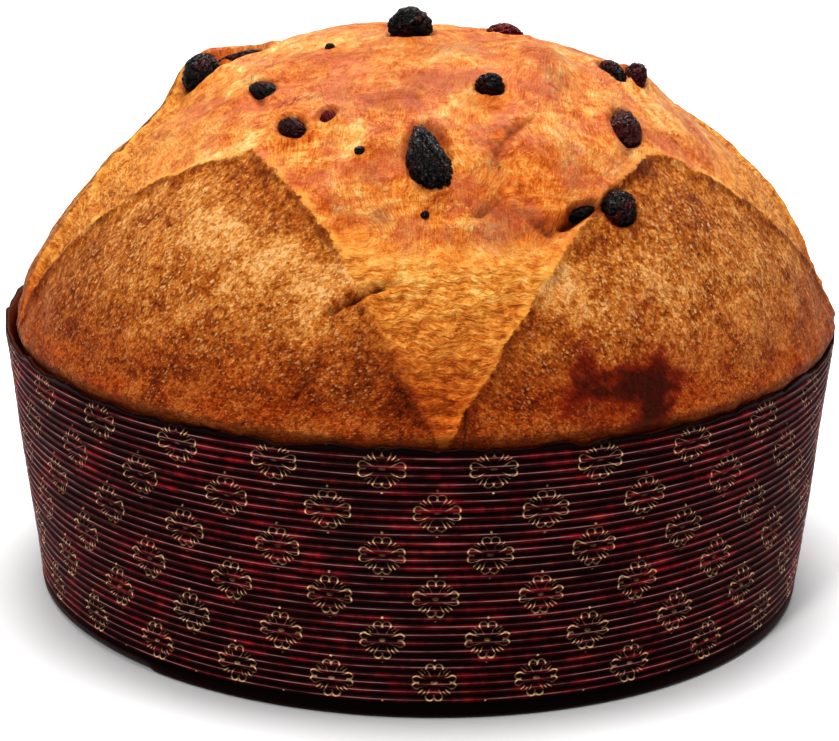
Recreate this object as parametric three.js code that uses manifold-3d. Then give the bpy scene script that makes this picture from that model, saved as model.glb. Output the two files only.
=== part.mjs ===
// A low, wide panettone with raisins, in the corrugated paper mould that it was baked in.
// Millimetres, +Z up. The origin is the middle of the flat foot, and -Y is the front,
// where the best-opened arm of the scored cross runs down to the rim.
import * as THREE from "three";
import { mergeVertices } from "three/addons/utils/BufferGeometryUtils.js";
import Module from "manifold-3d";

const wasm = await Module();
wasm.setup();

// Paper mould
const MOULD_HEIGHT = 70;
const FOOT_RADIUS = 100.4;
const RIM_RADIUS = 107.9;
const PAPER_WALL = 1.4;
const PAPER_FLOOR = 1.2;
const RIB_COUNT = 30;
const RIB_DEPTH = 0.5;
const HEM_HEIGHT = 3.4;
const HEM_ROUNDING = 0.9;
const RIM_MARGIN = 1.2;
const RIM_WAVE = 0.35;
const OVAL_AT_FOOT = 1.5;
const OVAL_AT_RIM = 0.6;
const OVAL_AXIS = THREE.MathUtils.degToRad(-64);
const MOULD_SEGMENTS = 36;

// Bread: a smooth dome first, as a height and a radius over a flat map of the crust.
// On the map a point's distance from the centre runs from 0 at the top to MAP_RADIUS
// at the rim, so the cross, the petals and the raisins can be placed as on a drawing.
const DOME_RISE = 73;
const DOME_RADIUS = 106.5;
const DOME_FLATNESS = 1.35;
const DOME_ROUNDNESS = 0.97;
const DOME_LEAN = 3.8;
const MAP_RADIUS = 140;
const CRUST_EDGE = 134.5;
const BREAD_FOOT = 1.5;
const SIDE_CLEARANCE = 0.75;
const RIM_CLEARANCE = 0.8;

// Where the dough has drawn back from the paper
const RECESS = { depth: 3.2, at: THREE.MathUtils.degToRad(175), spread: 0.44, reach: 26 };

// The scored cross opens into a cap and four arms between four darker petals. Each
// petal is the wedge between two edges that meet in its corner and run to the rim,
// each bowed outwards by some millimetres at its middle.
const ARM_TIPS = { front: -87, right: -2, back: 92, left: -166 };
const PETALS = [
  { corner: [-39, -41], from: "left", fromBow: 5, to: "front", toBow: 2 },
  { corner: [48, -34], from: "front", fromBow: 2.5, to: "right", toBow: -2.5 },
  { corner: [43, 42], from: "right", fromBow: 2, to: "back", toBow: 3 },
  { corner: [-55, 19], from: "back", fromBow: 3, to: "left", toBow: 6 },
];
const LIP_HEIGHT = 1.2;
const LIP_WIDTH = 2.2;
const PETAL_SWELL = 1.1;
const PETAL_SOFTNESS = 14;
const ARM_HOLLOW = 1.2;
const ARM_SOFTNESS = 5;
const CAP_RADIUS = 52;

// Broad bumps and dips of the crust: place on the map, height, length, width and turn
const LUMPS = [
  { at: [22, -14], rise: 3.4, long: 15, wide: 6, turn: 98 },
  { at: [-51, 19.4], rise: 8, long: 10.5, wide: 4.7, turn: 19 },
  { at: [-24, 24], rise: 1.8, long: 18, wide: 14, turn: 20 },
  { at: [24, 26], rise: -1.2, long: 20, wide: 14, turn: 0 },
  { at: [40, 4], rise: 1.6, long: 9, wide: 8, turn: 0 },
  { at: [-104, 22], rise: -2.6, long: 22, wide: 18, turn: 90 },
  { at: [92, 24], rise: 0.6, long: 22, wide: 14, turn: 90 },
  { at: [116, 20], rise: -1.0, long: 24, wide: 12, turn: 90 },
  { at: [-18, -89], rise: -2.0, long: 9, wide: 2.5, turn: 25 },
  { at: [34, -60], rise: -1.6, long: 14, wide: 3, turn: 48 },
  { at: [6, 70], rise: 1.8, long: 14, wide: 9, turn: 10 },
  { at: [58, 62], rise: 1.4, long: 18, wide: 12, turn: 130 },
  { at: [-62, 78], rise: 1.2, long: 20, wide: 12, turn: 50 },
];

// Raisins and fruit: place on the map, length, width and thickness, turn in degrees
// and how far the top stands above the crust. A wedge narrows by `taper` towards its
// tip, which stands aside by `lean`.
const RAISINS = [
  { at: [-5.4, 1.2], size: [11.8, 10.6, 10], turn: 15, rise: 7.3 },
  { at: [13.8, 7.9], size: [10, 6.5, 6], turn: -12, rise: 3.0 },
  { at: [-51.3, 13], size: [12, 10.5, 9], turn: 60, rise: 6.5 },
  { at: [-42.7, 17.7], size: [15, 4.2, 4], turn: 20, rise: 0.8 },
  { at: [-36.4, -16.4], size: [12, 6, 6], turn: -62, rise: 2.0 },
  { at: [-29.9, -37], size: [10.5, 6.2, 6], turn: -55, rise: 2.2 },
  { at: [-22.1, -35.9], size: [5.4, 4.4, 4.4], turn: 70, rise: 1.4 },
  { at: [10.6, -28.1], size: [7.2, 6.6, 6.4], turn: 0, rise: 4.2 },
  { at: [-1.5, -51.6], size: [18.5, 12, 7.6], turn: 94, rise: 3.6, taper: 0.5, lean: 0.3 },
  { at: [37.2, -4], size: [8.5, 6, 6], turn: -50, rise: 2.2 },
  { at: [42.6, -1], size: [9, 6.2, 7], turn: -85, rise: 3.0 },
  { at: [40.5, -29.6], size: [13, 8.2, 8], turn: -84, rise: 2.8 },
  { at: [41.6, -56.9], size: [11, 8.8, 8.4], turn: 80, rise: 4.6 },
  { at: [33.2, -59.5], size: [8.4, 3.2, 3.2], turn: 35, rise: 0.9 },
  { at: [-22, 56], size: [10.5, 8, 7.6], turn: 30, rise: 3.8 },
  { at: [26, 50], size: [9, 7.6, 7], turn: -35, rise: 3.4 },
  { at: [4, 84], size: [11, 7.2, 7], turn: 80, rise: 2.4 },
  { at: [64, 48], size: [8.4, 7, 6.6], turn: 10, rise: 3.0 },
  { at: [-44, 44], size: [8, 6.4, 6], turn: -20, rise: 2.6 },
];
const RAISIN_GAP = 0.35;
const RAISIN_WRINKLE = 0.07;

// Specks of fruit baked fast to the crust: place on the map and width
const SPECKS = [
  { at: [-22, -1.5], width: 2.8 },
  { at: [-15.6, -48.8], width: 3.0 },
  { at: [-1.5, -67], width: 2.4 },
  { at: [14, 38], width: 2.8 },
  { at: [-8, 66], width: 3.0 },
];
const SPECK_SHAPE = [1, 0.85, 0.8];
const SPECK_RISE = 0.35;

const clamp01 = (x) => Math.min(Math.max(x, 0), 1);
const smooth = (low, high, x) => {
  const t = clamp01((x - low) / (high - low));
  return t * t * (3 - 2 * t);
};

// The paper stands a little out of round, most at the foot.
function outOfRound(azimuth, z) {
  const toRim = clamp01(z / MOULD_HEIGHT);
  const overRim = clamp01((z - MOULD_HEIGHT) / DOME_RISE);
  const amount = THREE.MathUtils.lerp(OVAL_AT_FOOT, OVAL_AT_RIM, toRim) * (1 - overRim);
  return amount * Math.cos(2 * (azimuth - OVAL_AXIS));
}

function paperRadius(z) {
  return THREE.MathUtils.lerp(FOOT_RADIUS, RIM_RADIUS, z / MOULD_HEIGHT);
}

function rimWave(azimuth) {
  return RIM_WAVE * (0.6 * Math.sin(7 * azimuth + 0.4) + 0.4 * Math.sin(12 * azimuth + 2.1));
}

// How deep a map point lies inside the wedge on one side of a bowed edge
function edgeDepth(u, v, corner, tipName, bow, side) {
  const tipAngle = THREE.MathUtils.degToRad(ARM_TIPS[tipName]);
  const du = MAP_RADIUS * Math.cos(tipAngle) - corner[0];
  const dv = MAP_RADIUS * Math.sin(tipAngle) - corner[1];
  const length = Math.hypot(du, dv);
  const along = ((u - corner[0]) * du + (v - corner[1]) * dv) / length ** 2;
  const across = (side * (du * (v - corner[1]) - dv * (u - corner[0]))) / length;
  const t = clamp01(along);
  return across + bow * 4 * t * (1 - t);
}

// Millimetres inside the nearest petal, below zero out on the cap and the arms
function petalDepth(u, v) {
  const depths = PETALS.map(({ corner, from, fromBow, to, toBow }) =>
    Math.min(
      edgeDepth(u, v, corner, from, fromBow, 1),
      edgeDepth(u, v, corner, to, toBow, -1),
    ),
  );
  return Math.max(...depths);
}

function lumpHeight(u, v, { at, rise, long, wide, turn }) {
  const angle = THREE.MathUtils.degToRad(turn);
  const du = u - at[0];
  const dv = v - at[1];
  const p = (du * Math.cos(angle) + dv * Math.sin(angle)) / long;
  const q = (dv * Math.cos(angle) - du * Math.sin(angle)) / wide;
  return rise * Math.exp(-(p * p + q * q));
}

// Height of the crust over the smooth dome
function relief(u, v) {
  const out = Math.hypot(u, v);
  const depth = petalDepth(u, v);
  const onArm = smooth(CAP_RADIUS - 10, CAP_RADIUS + 20, out);
  const lip = LIP_HEIGHT * Math.exp(-((depth / LIP_WIDTH) ** 2));
  const petalSlope = PETAL_SWELL * Math.exp(-Math.max(depth, 0) / PETAL_SOFTNESS);
  const armSlope = ARM_HOLLOW * (1 - Math.exp(Math.min(depth, 0) / ARM_SOFTNESS));
  const fade = 1 - smooth(CRUST_EDGE - 12, CRUST_EDGE, out);
  const lumps = LUMPS.reduce((sum, lump) => sum + lumpHeight(u, v, lump), 0);
  return (lip - petalSlope - armSlope) * onArm * fade + lumps;
}

function domePoint(u, v) {
  const out = Math.min(Math.hypot(u, v), MAP_RADIUS);
  const azimuth = Math.atan2(v, u);
  const t = ((out / MAP_RADIUS) * Math.PI) / 2;
  const up = Math.max(Math.cos(t), 0) ** DOME_FLATNESS;
  const z = MOULD_HEIGHT + DOME_RISE * up;
  const radius = DOME_RADIUS * Math.sin(t) ** DOME_ROUNDNESS + outOfRound(azimuth, z) * Math.sin(t);
  return new THREE.Vector3(
    radius * Math.cos(azimuth) + DOME_LEAN * up,
    radius * Math.sin(azimuth),
    z,
  );
}

function normalOf(pointAt, u, v, step) {
  const alongU = pointAt(u + step, v).sub(pointAt(u - step, v));
  const alongV = pointAt(u, v + step).sub(pointAt(u, v - step));
  return alongU.cross(alongV).normalize();
}

function recess(u, v) {
  const turn = Math.atan2(v, u) - RECESS.at;
  const turnFromRecess = Math.atan2(Math.sin(turn), Math.cos(turn));
  const near = Math.exp(-((turnFromRecess / RECESS.spread) ** 2));
  return RECESS.depth * near * smooth(MAP_RADIUS - RECESS.reach, CRUST_EDGE, Math.hypot(u, v));
}

function crustPoint(u, v) {
  const normal = normalOf(domePoint, u, v, 0.5);
  return domePoint(u, v).addScaledVector(normal, relief(u, v) - recess(u, v));
}

// Closed triangle soup to one solid, and back to a geometry with flat faces
function weld(geometry) {
  const bare = geometry.clone();
  bare.deleteAttribute("normal");
  bare.deleteAttribute("uv");
  return mergeVertices(bare, 1e-4);
}

function toSolid(geometry) {
  const welded = weld(geometry);
  return new wasm.Manifold(
    new wasm.Mesh({
      numProp: 3,
      vertProperties: new Float32Array(welded.attributes.position.array),
      triVerts: new Uint32Array(welded.index.array),
    }),
  );
}

function toGeometry(solid) {
  const { vertProperties, triVerts } = solid.getMesh();
  const geometry = new THREE.BufferGeometry();
  geometry.setAttribute("position", new THREE.BufferAttribute(vertProperties, 3));
  geometry.setIndex(new THREE.BufferAttribute(triVerts, 1));
  geometry.computeVertexNormals();
  return geometry;
}

function moveVertices(geometry, move) {
  const { position } = geometry.attributes;
  const point = new THREE.Vector3();
  for (let i = 0; i < position.count; i += 1) {
    point.fromBufferAttribute(position, i);
    const moved = move(point, i);
    position.setXYZ(i, moved.x, moved.y, moved.z);
  }
  return geometry;
}

// Mould: a lathe-turned cup with a zigzag for the corrugation and a plain hem
function mouldProfile() {
  const ribsFrom = HEM_HEIGHT;
  const pitch = (MOULD_HEIGHT - RIM_MARGIN - ribsFrom) / RIB_COUNT;
  const profile = [
    [0, 0],
    [FOOT_RADIUS - HEM_ROUNDING, 0],
    [FOOT_RADIUS - 0.6, 1],
    [paperRadius(HEM_HEIGHT) - RIB_DEPTH, ribsFrom],
  ];
  for (let rib = 0; rib < RIB_COUNT; rib += 1) {
    const crest = ribsFrom + (rib + 0.5) * pitch;
    const groove = ribsFrom + (rib + 1) * pitch;
    profile.push([paperRadius(crest), crest]);
    profile.push([paperRadius(groove) - RIB_DEPTH, groove]);
  }
  profile.push([RIM_RADIUS, MOULD_HEIGHT]);
  profile.push([RIM_RADIUS - PAPER_WALL, MOULD_HEIGHT]);
  profile.push([paperRadius(PAPER_FLOOR) - PAPER_WALL, PAPER_FLOOR]);
  profile.push([0, PAPER_FLOOR]);
  return profile.map(([radius, z]) => new THREE.Vector2(radius, z));
}

function mouldGeometry() {
  const cup = new THREE.LatheGeometry(mouldProfile(), MOULD_SEGMENTS).rotateX(Math.PI / 2);
  return moveVertices(cup, (point) => {
    const radius = Math.hypot(point.x, point.y);
    const azimuth = Math.atan2(point.y, point.x);
    const z = point.z > MOULD_HEIGHT - 0.1 ? point.z + rimWave(azimuth) : point.z;
    const moved = radius > 1 ? radius + outOfRound(azimuth, point.z) : radius;
    return new THREE.Vector3(moved * Math.cos(azimuth), moved * Math.sin(azimuth), z);
  });
}

// Bread: a lathe-turned blank whose rows are then laid on the foot, the side and the
// crust. Crust rows follow the outline of the star, so that its lips are ring lines,
// and the columns crowd together at the four arms.
const ARM_COLUMNS = [0, 1.2, 2.8, 5, 8, 12, 17, 23.5, 31, 38.5];
const STAR_ROWS = [0.14, 0.28, 0.41, 0.53, 0.64, 0.74, 0.83, 0.9, 0.955, 1];
const PETAL_ROWS = [0.05, 0.13, 0.24, 0.37, 0.5, 0.63, 0.75, 0.86, 0.94, 1];
const SIDE_ROWS = [68.5, 36, 5];
const DRAWN_BACK_ABOVE = 60;

function crustAzimuths() {
  const tips = Object.values(ARM_TIPS).sort((a, b) => a - b);
  const azimuths = tips.flatMap((tip, i) => {
    const next = i + 1 < tips.length ? tips[i + 1] : tips[0] + 360;
    const middle = (tip + next) / 2;
    const scale = (middle - tip) / 45;
    const outward = ARM_COLUMNS.map((offset) => tip + offset * scale);
    const inward = ARM_COLUMNS.slice(1).map((offset) => next - offset * scale);
    return [...outward, middle, ...inward.reverse()];
  });
  return azimuths.map((degrees) => THREE.MathUtils.degToRad(degrees));
}

// Distance from the centre of the map to the edge of the star in one direction
function starReach(azimuth) {
  const farthest = CRUST_EDGE - 6;
  for (let out = CAP_RADIUS; out < farthest; out += 0.25) {
    if (petalDepth(out * Math.cos(azimuth), out * Math.sin(azimuth)) > 0) return out;
  }
  return farthest;
}

function crustRing(azimuth) {
  const star = starReach(azimuth);
  const outward = [
    ...STAR_ROWS.map((share) => share * star),
    ...PETAL_ROWS.map((share) => THREE.MathUtils.lerp(star, CRUST_EDGE, share)),
  ];
  return outward.map((out) => crustPoint(out * Math.cos(azimuth), out * Math.sin(azimuth)));
}

// From the crust's lower edge down inside the paper to the flat foot
function sideRing(azimuth) {
  const at = (radius, z) => {
    const r = radius + outOfRound(azimuth, Math.min(z, MOULD_HEIGHT));
    return new THREE.Vector3(r * Math.cos(azimuth), r * Math.sin(azimuth), z);
  };
  const drawnBack = recess(MAP_RADIUS * Math.cos(azimuth), MAP_RADIUS * Math.sin(azimuth));
  const inside = (z) => paperRadius(z) - PAPER_WALL - SIDE_CLEARANCE;
  const tuck = at(inside(MOULD_HEIGHT) - drawnBack, MOULD_HEIGHT + RIM_CLEARANCE);
  const side = SIDE_ROWS.map((z) => at(inside(z) - (z > DRAWN_BACK_ABOVE ? drawnBack : 0), z));
  return [tuck, ...side, at(inside(BREAD_FOOT) - HEM_ROUNDING, BREAD_FOOT)];
}

function breadSolid() {
  const azimuths = crustAzimuths();
  const columns = azimuths.map((azimuth) => [
    crustPoint(0, 0),
    ...crustRing(azimuth),
    ...sideRing(azimuth),
    new THREE.Vector3(0, 0, BREAD_FOOT),
  ]);
  const rows = columns[0].length;
  const blank = Array.from({ length: rows }, (_, row) => {
    const turn = (Math.PI * row) / (rows - 1);
    return new THREE.Vector2(Math.sin(turn), Math.cos(turn));
  });
  const lathe = new THREE.LatheGeometry(blank.reverse(), azimuths.length);
  const laid = moveVertices(lathe, (point, i) => {
    const column = Math.floor(i / rows) % azimuths.length;
    return columns[column][rows - 1 - (i % rows)];
  });
  return toSolid(laid);
}

// A pebble of a given size, set in the crust at its place on the map
function pebbleGeometry(raisin, detail, grow, wrinkle) {
  const { at, size, turn, rise, taper = 0, lean = 0 } = raisin;
  const normal = normalOf(crustPoint, at[0], at[1], 2);
  const aim = THREE.MathUtils.degToRad(turn);
  const long = crustPoint(at[0] + Math.cos(aim), at[1] + Math.sin(aim)).sub(crustPoint(...at));
  long.addScaledVector(normal, -long.dot(normal)).normalize();
  const wide = new THREE.Vector3().crossVectors(normal, long);
  const [halfLong, halfWide, halfThick] = size.map((side) => side / 2 + grow);
  const centre = crustPoint(...at).addScaledVector(normal, rise - size[2] / 2);
  const pebble = new THREE.IcosahedronGeometry(1, detail);
  return moveVertices(pebble, (p) => {
    const crease = Math.sin(4 * p.x + 2 * p.y + at[0]) + Math.sin(5 * p.z - 3 * p.y + at[1]);
    const swell = 1 + wrinkle * crease;
    const aside = p.y * (1 - taper * p.x) + lean * p.x;
    return new THREE.Vector3()
      .addScaledVector(long, p.x * halfLong * swell)
      .addScaledVector(wide, aside * halfWide * swell)
      .addScaledVector(normal, p.z * halfThick * swell)
      .add(centre);
  });
}

function breadGeometry() {
  let bread = breadSolid();
  for (const { at, width } of SPECKS) {
    const size = SPECK_SHAPE.map((share) => share * width);
    const speck = { at, size, turn: 30, rise: SPECK_RISE * width };
    bread = bread.add(toSolid(pebbleGeometry(speck, 0, 0, 0)));
  }
  for (const raisin of RAISINS) {
    bread = bread.subtract(toSolid(pebbleGeometry(raisin, 1, RAISIN_GAP, RAISIN_WRINKLE)));
  }
  return toGeometry(bread);
}

const crust = new THREE.MeshStandardMaterial({ color: 0xc87a2e, roughness: 0.5, metalness: 0 });
const paper = new THREE.MeshStandardMaterial({ color: 0x3a1418, roughness: 0.6, metalness: 0 });
const fruit = new THREE.MeshStandardMaterial({ color: 0x1d1012, roughness: 0.35, metalness: 0 });

function named(name, geometry, material) {
  const mesh = new THREE.Mesh(geometry, material);
  mesh.name = name;
  return mesh;
}

const panettone = new THREE.Group();
panettone.add(named("paper_mould", mouldGeometry(), paper));
panettone.add(named("bread", breadGeometry(), crust));
RAISINS.forEach((raisin, i) => {
  const name = `raisin_${String(i + 1).padStart(2, "0")}`;
  panettone.add(named(name, pebbleGeometry(raisin, 1, 0, RAISIN_WRINKLE), fruit));
});

export default panettone;
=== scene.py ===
# A low panettone with raisins in its ribbed paper mould, on a pale studio floor.
import itertools

import bpy
import numpy as np
from mathutils import Matrix, Vector


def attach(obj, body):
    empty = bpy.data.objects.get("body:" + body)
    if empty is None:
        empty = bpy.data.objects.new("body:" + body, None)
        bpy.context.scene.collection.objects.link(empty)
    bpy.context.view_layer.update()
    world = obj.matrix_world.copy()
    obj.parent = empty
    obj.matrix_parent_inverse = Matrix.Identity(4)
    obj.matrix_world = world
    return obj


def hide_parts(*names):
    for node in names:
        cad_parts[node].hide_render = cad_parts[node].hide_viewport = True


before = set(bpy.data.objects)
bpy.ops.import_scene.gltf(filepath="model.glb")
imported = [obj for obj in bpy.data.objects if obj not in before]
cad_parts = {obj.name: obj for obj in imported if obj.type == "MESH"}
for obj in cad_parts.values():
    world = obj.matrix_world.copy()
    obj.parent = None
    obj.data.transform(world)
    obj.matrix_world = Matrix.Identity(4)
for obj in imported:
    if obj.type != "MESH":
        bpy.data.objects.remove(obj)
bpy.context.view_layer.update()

MM = 0.001

# Paper mould, in millimetres
MOULD_HEIGHT = 70.0
FOOT_RADIUS = 100.4
RIM_RADIUS = 107.9
PAPER_WALL = 1.4
PAPER_FLOOR = 1.2
RIB_COUNT = 30
RIB_DEPTH = 0.7
HEM_HEIGHT = 3.4
RIM_MARGIN = 1.2
RIB_PITCH = (MOULD_HEIGHT - RIM_MARGIN - HEM_HEIGHT) / RIB_COUNT
RIM_WAVE = 0.35
OVAL_AT_FOOT = 1.5
OVAL_AT_RIM = 0.6
OVAL_AXIS = np.radians(-64)
MOULD_COLUMNS = 336

# Dome of the bread over its flat crust map, in millimetres
DOME_RISE = 73.0
DOME_RADIUS = 106.5
DOME_FLATNESS = 1.35
DOME_ROUNDNESS = 0.97
DOME_LEAN = 3.8
MAP_RADIUS = 140.0
CRUST_EDGE = 134.5
BREAD_FOOT = 1.5
CRUST_GRID = 304
RECESS = {"depth": 3.2, "at": np.radians(175), "spread": 0.44, "reach": 26}

# The scored cross: four arms between four petals, each petal a wedge with bowed edges
ARM_TIPS = {"front": -87, "right": -2, "back": 92, "left": -166}
PETALS = [
    {"corner": (-39, -41), "edges": [("left", 5, 1), ("front", 2, -1)]},
    {"corner": (48, -34), "edges": [("front", 2.5, 1), ("right", -2.5, -1)]},
    {"corner": (43, 42), "edges": [("right", 2, 1), ("back", 3, -1)]},
    {"corner": (-55, 19), "edges": [("back", 3, 1), ("left", 6, -1)]},
]
LIP_HEIGHT = 1.2
LIP_WIDTH = 2.2
PETAL_SWELL = 1.1
PETAL_SOFTNESS = 14.0
ARM_HOLLOW = 1.2
ARM_SOFTNESS = 5.0
CAP_RADIUS = 52.0

# Broad bumps and dips: map place, height, length, width, turn in degrees
LUMPS = [
    ((22, -14), 3.4, 15, 6, 98),
    ((-51, 19.4), 8.0, 10.5, 4.7, 19),
    ((-24, 24), 1.8, 18, 14, 20),
    ((24, 26), -1.2, 20, 14, 0),
    ((40, 4), 1.6, 9, 8, 0),
    ((-104, 22), -2.6, 22, 18, 90),
    ((92, 24), 0.6, 22, 14, 90),
    ((116, 20), -1.0, 24, 12, 90),
    ((-18, -89), -0.5, 9, 3, 25),
    ((34, -60), -1.6, 14, 3, 48),
    ((6, 70), 1.8, 14, 9, 10),
    ((58, 62), 1.4, 18, 12, 130),
    ((-62, 78), 1.2, 20, 12, 50),
    ((29, -45), 1.1, 12, 12, 0),
    ((-45, 10), 1.2, 10, 4, 22),
]

# Raisins: map place, length, width, thickness, turn in degrees, rise over the crust
RAISINS = [
    ((-5.4, 1.2), (11.8, 10.6, 10), 15, 7.3),
    ((13.8, 7.9), (10, 6.5, 6), -12, 3.0),
    ((-51.3, 13), (12, 10.5, 9), 60, 6.5),
    ((-42.7, 17.7), (15, 4.2, 4), 20, 0.8),
    ((-36.4, -16.4), (12, 6, 6), -62, 2.0),
    ((-29.9, -37), (10.5, 6.2, 6), -55, 2.2),
    ((-22.1, -35.9), (5.4, 4.4, 4.4), 70, 1.4),
    ((10.6, -28.1), (7.2, 6.6, 6.4), 0, 4.2),
    ((-1.5, -51.6), (20.5, 10.2, 7.6), 94, 3.6),
    ((37.2, -4), (9.5, 6.5, 7), -50, 2.9),
    ((42.6, -1), (10, 6.2, 9), -85, 4.2),
    ((40.5, -29.6), (14.5, 8.8, 9), -84, 3.6),
    ((41.6, -56.9), (11, 8.8, 8.4), 80, 4.6),
    ((33.2, -59.5), (8.4, 3.2, 3.2), 35, 0.9),
    ((-22, 56), (10.5, 8, 7.6), 30, 3.8),
    ((26, 50), (9, 7.6, 7), -35, 3.4),
    ((4, 84), (11, 7.2, 7), 80, 2.4),
    ((64, 48), (8.4, 7, 6.6), 10, 3.0),
    ((-44, 44), (8, 6.4, 6), -20, 2.6),
]

# Wedge-shaped raisins: number, how much the tip narrows, how far it stands aside
WEDGES = {9: (0.5, 0.3), 2: (0.25, 0.0), 5: (-0.2, 0.15), 12: (-0.2, 0.0)}
NO_WEDGE = (0.0, 0.0)

# Reddish raisins: number, share of red in the skin
RUDDY = {2: 0.85, 6: 0.2, 7: 0.8, 11: 0.3, 12: 0.35, 16: 0.4}

# Specks of fruit in the crust: map place, width
SPECKS = [
    ((-22, -1.5), 2.8),
    ((-15.6, -48.8), 3.0),
    ((-1.5, -67), 2.4),
    ((14, 38), 2.8),
    ((-8, 66), 3.0),
]

# Places where the edge of a petal melts into the arm: map place, softness, length, width, turn
SOFT_EDGES = [
    ((-13, -104), 3.0, 22, 8, -72),
    ((-8, -122), 2.0, 14, 10, -80),
    ((36, -74), 1.2, 10, 7, -60),
]

# Creases in the crust: map line, depth, half width
CREASES = [
    ([(-26, -93), (-17, -89), (-11, -86), (-6, -85)], 1.8, 0.9),
    ([(-25, -101), (-28, -109), (-33, -114), (-37, -120)], 0.9, 0.9),
    ([(44, -46), (38, -57), (32, -63), (24, -70)], 1.5, 1.6),
    ([(20, -32), (20, -37), (14, -45), (13, -50), (15, -60)], 0.7, 1.0),
    ([(15, -60), (14, -63), (11, -66), (7, -67)], 0.9, 0.9),
    ([(19, -65), (25, -67), (30, -70)], 0.8, 1.0),
    ([(-49, 10), (-44, 14), (-37, 17.5)], 2.0, 1.3),
    ([(-42, -4), (-38, -14), (-36, -27)], 1.2, 1.5),
    ([(41, -42), (43, -30), (40, -18)], 1.0, 1.4),
    ([(29, -66), (33, -61), (37, -57)], 1.4, 0.9),
    ([(-4, 40), (8, 52), (12, 66)], 0.9, 1.2),
    ([(48, 14), (56, 26), (58, 38)], 0.9, 1.2),
]

# Camera, fitted to the mould's rim and foot
CAMERA_PLACE = Vector((0.0, -0.8406, 0.3302))
CAMERA_PITCH = np.radians(18.2)
CAMERA_ROLL = np.radians(0.6)
CAMERA_LENS = 145.0
SENSOR_WIDTH = 36.0
CAMERA_REACH = 50

# Studio, in metres and watts
FLOOR_SIZE = 8
FLOOR_DROP = 0.0004
SKY_STRENGTH = 0.27
LIT_PLACE = (0, 0, 0.07)
SOFTBOXES = [
    {"place": (0.0, 0.0, 1.25), "size": (0.75, 0.55), "power": 11.5},
    {"place": (-0.35, -1.0, 1.1), "size": (0.2, 0.2), "power": 5.0},
    {"place": (0.1, 1.0, 0.85), "size": (0.9, 0.4), "power": 4.5},
]


# Repeatable noise over arrays of places

def random_unit(ix, iy, iz, salt):
    wave = np.sin(ix * 127.1 + iy * 311.7 + iz * 74.7 + salt * 19.19) * 43758.5453
    return wave - np.floor(wave)


def noise(x, y, z=0.0, salt=0):
    """Smooth noise from about -1 to 1, with features about one unit across."""
    x, y, z = np.broadcast_arrays(x, y, z)
    ix, iy, iz = np.floor(x), np.floor(y), np.floor(z)
    fx, fy, fz = x - ix, y - iy, z - iz
    wx, wy, wz = (f * f * f * (f * (f * 6 - 15) + 10) for f in (fx, fy, fz))
    total = 0.0
    for dx, dy, dz in itertools.product((0, 1), repeat=3):
        turn = random_unit(ix + dx, iy + dy, iz + dz, salt) * 2 * np.pi
        up = random_unit(ix + dx, iy + dy, iz + dz, salt + 1) * 2 - 1
        flat = np.sqrt(1 - up * up)
        slope = flat * (np.cos(turn) * (fx - dx) + np.sin(turn) * (fy - dy)) + up * (fz - dz)
        share = (wx if dx else 1 - wx) * (wy if dy else 1 - wy) * (wz if dz else 1 - wz)
        total = total + share * slope
    return total * 1.6


def fractal(x, y, z=0.0, octaves=3, salt=0):
    total, size = 0.0, 1.0
    for octave in range(octaves):
        total = total + size * noise(x / size, y / size, z / size, salt + 7 * octave)
        size *= 0.5
    return total


def ring_noise(azimuth, pace, salt):
    """Noise round a circle, which ends as it began."""
    return noise(np.cos(azimuth) * pace, np.sin(azimuth) * pace, salt=salt)


def cells(x, y, salt=0):
    """Distance to the nearest of scattered points, one to a unit square."""
    ix, iy = np.floor(x), np.floor(y)
    nearest = np.full(x.shape, 9.0)
    for dx, dy in itertools.product((-1, 0, 1), repeat=2):
        px = ix + dx + random_unit(ix + dx, iy + dy, 0, salt)
        py = iy + dy + random_unit(ix + dx, iy + dy, 0, salt + 1)
        nearest = np.minimum(nearest, np.hypot(x - px, y - py))
    return nearest


def smooth(low, high, x):
    t = np.clip((x - low) / (high - low), 0, 1)
    return t * t * (3 - 2 * t)


# Shape of the loaf

def round_point(radius, azimuth, z):
    return np.stack([radius * np.cos(azimuth), radius * np.sin(azimuth), z], axis=-1)


def out_of_round(azimuth, z):
    to_rim = np.clip(z / MOULD_HEIGHT, 0, 1)
    over_rim = np.clip((z - MOULD_HEIGHT) / DOME_RISE, 0, 1)
    amount = (OVAL_AT_FOOT + (OVAL_AT_RIM - OVAL_AT_FOOT) * to_rim) * (1 - over_rim)
    return amount * np.cos(2 * (azimuth - OVAL_AXIS))


def paper_radius(z):
    return FOOT_RADIUS + (RIM_RADIUS - FOOT_RADIUS) * z / MOULD_HEIGHT


def rim_wave(azimuth):
    return RIM_WAVE * (0.6 * np.sin(7 * azimuth + 0.4) + 0.4 * np.sin(12 * azimuth + 2.1))


def edge_depth(u, v, corner, tip, bow, side):
    angle = np.radians(ARM_TIPS[tip])
    du, dv = MAP_RADIUS * np.cos(angle) - corner[0], MAP_RADIUS * np.sin(angle) - corner[1]
    length = np.hypot(du, dv)
    along = np.clip(((u - corner[0]) * du + (v - corner[1]) * dv) / length**2, 0, 1)
    across = side * (du * (v - corner[1]) - dv * (u - corner[0])) / length
    return across + bow * 4 * along * (1 - along)


def petal_depth(u, v):
    """Millimetres inside the nearest petal, below zero on the cap and the arms."""
    depths = [
        np.minimum(*(edge_depth(u, v, petal["corner"], *edge) for edge in petal["edges"]))
        for petal in PETALS
    ]
    return np.max(depths, axis=0)


def lump_height(u, v, at, rise, long, wide, turn):
    angle = np.radians(turn)
    du, dv = u - at[0], v - at[1]
    p = (du * np.cos(angle) + dv * np.sin(angle)) / long
    q = (dv * np.cos(angle) - du * np.sin(angle)) / wide
    return rise * np.exp(-(p * p + q * q))


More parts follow.
